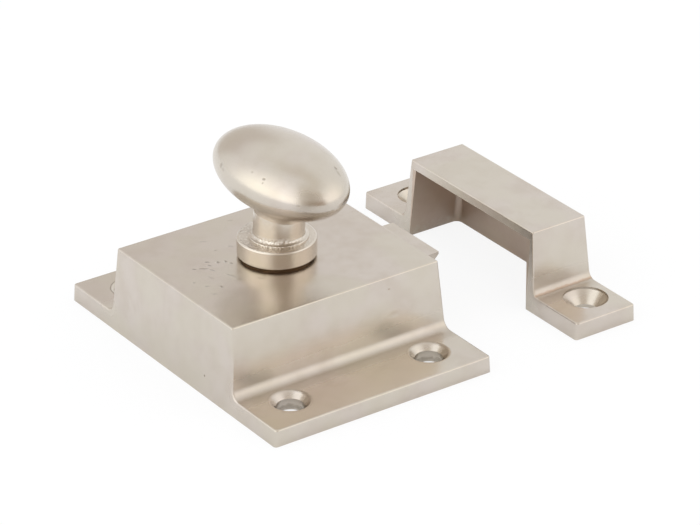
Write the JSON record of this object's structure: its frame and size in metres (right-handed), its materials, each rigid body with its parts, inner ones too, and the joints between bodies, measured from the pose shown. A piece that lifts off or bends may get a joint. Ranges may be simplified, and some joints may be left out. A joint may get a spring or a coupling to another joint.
{
  "type": "cupboard catch latch",
  "caption": "Surface cupboard catch with an oval turn knob, a sprung bevelled bolt in a flanged cast case, and a separate pocketed keeper.",
  "frame": {"origin": "on the knob's axis, in the plane of the door's face on which the flanges sit", "axes": "+X along the bolt towards the keeper, +Y across the flanges, +Z out of the door along the knob's axis"},
  "size_m": [0.0757, 0.0636, 0.0374],
  "materials": {
    "case": "cast brass, satin nickel plate",
    "knob": "cast brass, satin nickel plate",
    "bolt": "cast brass, satin nickel plate",
    "steel": "plain bright steel",
    "spring_wire": "drawn spring wire"
  },
  "bodies": {
    "case": {"latch_case": "case", "back_plate": "steel", "plate_screw_1": "steel", "plate_screw_2": "steel", "plate_screw_3": "steel", "plate_screw_4": "steel", "bolt_spring": "spring_wire", "keeper": "case"},
    "knob": {"knob": "knob", "spindle": "steel", "thrust_washer": "steel", "cam": "steel", "cam_washer": "steel", "cam_screw": "steel"},
    "bolt": {"bolt": "bolt"}
  },
  "joints": [
    {"name": "knob_turn", "type": "hinge", "parent": "case", "child": "knob", "pos_m": [0, 0, 0.0156], "axis": [0, 0, 1], "range_deg": [0, 90]},
    {"name": "bolt_slide", "type": "slide", "parent": "case", "child": "bolt", "axis": [-1, 0, 0], "range_m": [0, 0.0072], "stiffness_N_per_m": 400, "springref_m": -0.005, "deforming": ["bolt_spring"]}
  ],
  "couplings": [
    {"joint": "knob_turn", "follows": "bolt_slide", "rad_per_m": 218.17}
  ]
}
